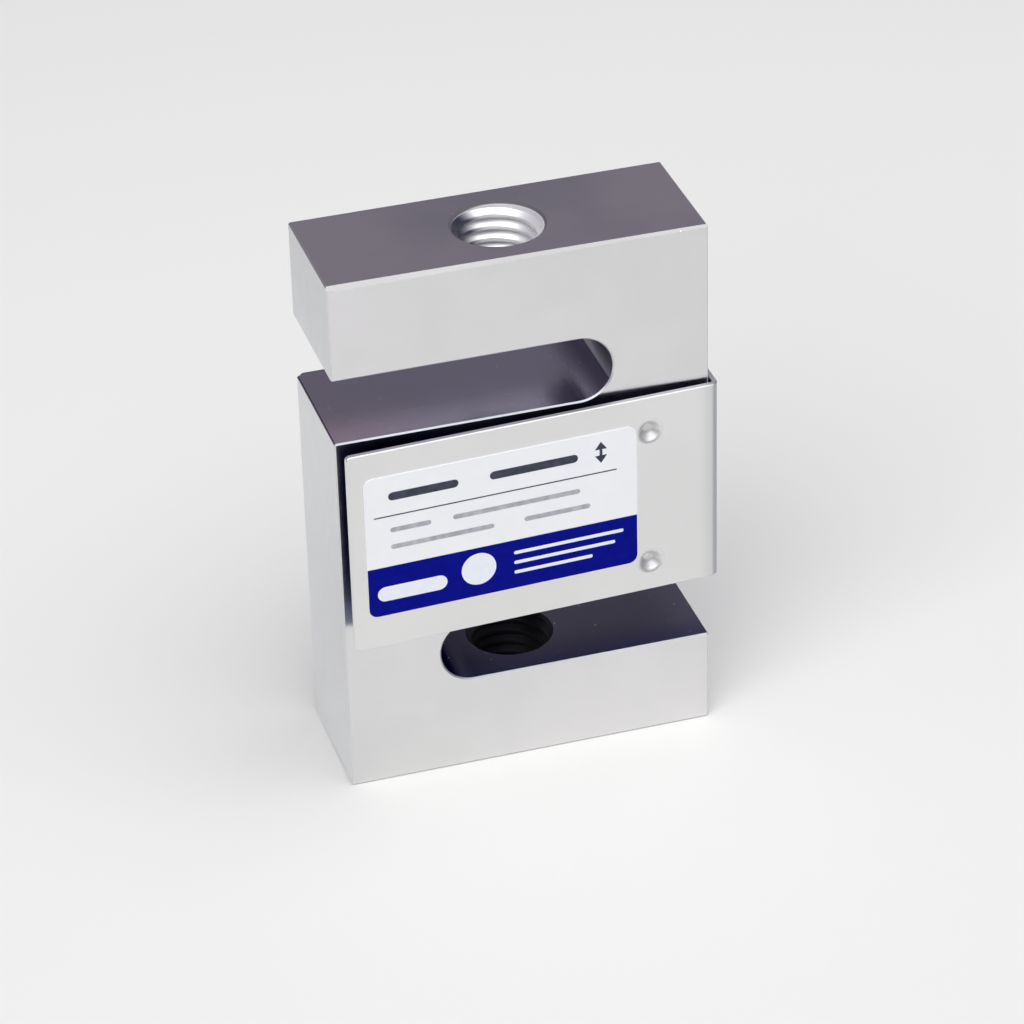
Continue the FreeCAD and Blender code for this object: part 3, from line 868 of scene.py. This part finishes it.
lines = [
    bar(3.4, 12.55, 9.0, 13.25),
    bar(12.0, 12.55, 29.6, 13.25),
    bar(3.4, 10.0, 17.6, 10.7),
    bar(21.8, 10.0, 31.0, 10.7),
]
printed("label_lines", lines, grey_ink, 0)

# ---- cable inlet -----------------------------------------------------------------------------
# A turned ring of plated brass pressed into the beam, and the moulded rubber sleeve that it holds.

BUSH_COLOURS = (0.60, 0.59, 0.58, 1), (0.68, 0.665, 0.64, 1)
RUBBER_COLOURS = (0.014, 0.014, 0.015, 1), (0.045, 0.045, 0.046, 1)

bush_metal, tree = new_tree("bush_metal")
rings = node(
    tree,
    "ShaderNodeTexWave",
    wave_type="RINGS",
    rings_direction="X",
    Vector=stretched(tree, (0, 1, 1)),
    Scale=900.0,
    Distortion=0.6,
)
spread = grain(tree, (200, 200, 200), 2.0)
shader = node(
    tree,
    "ShaderNodeBsdfPrincipled",
    Base_Color=mix(tree, ramp(tree, spread, 0.3, 0.7), *BUSH_COLOURS),
    Metallic=1.0,
    Roughness=0.24,
    Normal=relief(tree, rings.outputs["Fac"], 0.08),
)
surface(tree, shader)
nodes["cable_bush"].data.materials[0] = bush_metal

seal_rubber, tree = new_tree("seal_rubber")
skin = grain(tree, (2500, 2500, 2500), 3.0)
bloom = grain(tree, (350, 350, 350), 3.0)
shader = node(
    tree,
    "ShaderNodeBsdfPrincipled",
    Base_Color=mix(tree, ramp(tree, bloom, 0.45, 0.8), *RUBBER_COLOURS),
    Roughness=0.62,
    Normal=relief(tree, skin, 0.25, 0.1 * MM),
)
surface(tree, shader)
nodes["cable_seal"].data.materials[0] = seal_rubber

# ---- gauge window ----------------------------------------------------------------------------
# Under the cover, white silicone fills the window. In it are the four foil gauges, their solder
# terminals, the flat leads, and the small board with its two kinds of resistor.

SILICONE_COLOURS = (0.70, 0.70, 0.67, 1), (0.80, 0.80, 0.77, 1)
CERAMIC_COLOURS = (0.018, 0.018, 0.02, 1), (0.04, 0.04, 0.045, 1)
NICKEL_PART_COLOURS = (0.58, 0.54, 0.46, 1), (0.70, 0.67, 0.60, 1)
LEAD_COLOURS = (0.42, 0.02, 0.015, 1), (0.50, 0.03, 0.022, 1)
BOARD_COLOURS = (0.010, 0.085, 0.03, 1), (0.022, 0.15, 0.05, 1)
# The backing of a gauge or a terminal strip, and the metal on it.
FOIL_COLOURS = (0.45, 0.20, 0.04, 1), (0.62, 0.55, 0.46, 1)
PAD_COLOURS = (0.50, 0.34, 0.12, 1), (0.70, 0.62, 0.50, 1)
# Millimetres from the beam's middle to a terminal strip's, and from there to a pad's two sides.
PADS_X = 8.0
PAD_STARTS = 0.35
PAD_ENDS = 1.8


def cast(name, colours, scale, roughness, bump):
    """A moulded or coated finish with a fine mottle and a matching relief."""
    material, tree = new_tree(name)
    mottle = grain(tree, (scale,) * 3, 4.0)
    shader = node(
        tree,
        "ShaderNodeBsdfPrincipled",
        Base_Color=mix(tree, ramp(tree, mottle, 0.3, 0.7), *colours),
        Roughness=roughness,
        Normal=relief(tree, mottle, bump, 0.3 * MM),
    )
    surface(tree, shader)
    return material


def bands(tree, axis, scale):
    """Waves that follow one another along an axis."""
    settings = {"wave_type": "BANDS", "bands_direction": axis, "Scale": scale}
    return node(tree, "ShaderNodeTexWave", Vector=own_place(tree), **settings).outputs["Fac"]


silicone = cast("silicone", SILICONE_COLOURS, scale=160, roughness=0.38, bump=0.3)
ceramic = cast("resistor_ceramic", CERAMIC_COLOURS, scale=3000, roughness=0.45, bump=0.1)
nickel_part = cast(
    "resistor_nickel", NICKEL_PART_COLOURS, scale=2000, roughness=0.5, bump=0.15
)
insulation = cast("wire_insulation", LEAD_COLOURS, scale=900, roughness=0.4, bump=0.1)

board, tree = new_tree("circuit_board")
cloth = all_of(tree, bands(tree, "X", 700.0), bands(tree, "Y", 700.0))
tint = mix(tree, cloth, *BOARD_COLOURS)
surface(tree, node(tree, "ShaderNodeBsdfPrincipled", Base_Color=tint, Roughness=0.3))

foil, tree = new_tree("gauge_foil")
strand = above(tree, bands(tree, "Y", 900.0), 0.55)
shader = node(
    tree,
    "ShaderNodeBsdfPrincipled",
    Base_Color=mix(tree, strand, *FOIL_COLOURS),
    Metallic=all_of(tree, strand, 0.9),
    Roughness=0.3,
)
surface(tree, shader)

pads, tree = new_tree("terminal_strip")
from_middle = unsigned(tree, parts(tree, stretched(tree, (1 / MM,) * 3))["X"])
from_strip = unsigned(tree, sums(tree, "SUBTRACT", from_middle, PADS_X))
pad = between(tree, from_strip, PAD_STARTS, PAD_ENDS)
shader = node(
    tree,
    "ShaderNodeBsdfPrincipled",
    Base_Color=mix(tree, pad, *PAD_COLOURS),
    Metallic=pad,
    Roughness=0.35,
)
surface(tree, shader)

nodes["potting"].data.materials[0] = silicone
nodes["trim_resistors"].data.materials[0] = ceramic
nodes["nickel_resistors"].data.materials[0] = nickel_part
nodes["compensation_board"].data.materials[0] = board
for corner in ("upper_left", "upper_right", "lower_left", "lower_right"):
    nodes["strain_gauge_" + corner].data.materials[0] = foil
    nodes["gauge_terminal_" + corner].data.materials[0] = pads
    nodes["lead_pair_" + corner].data.materials[0] = insulation
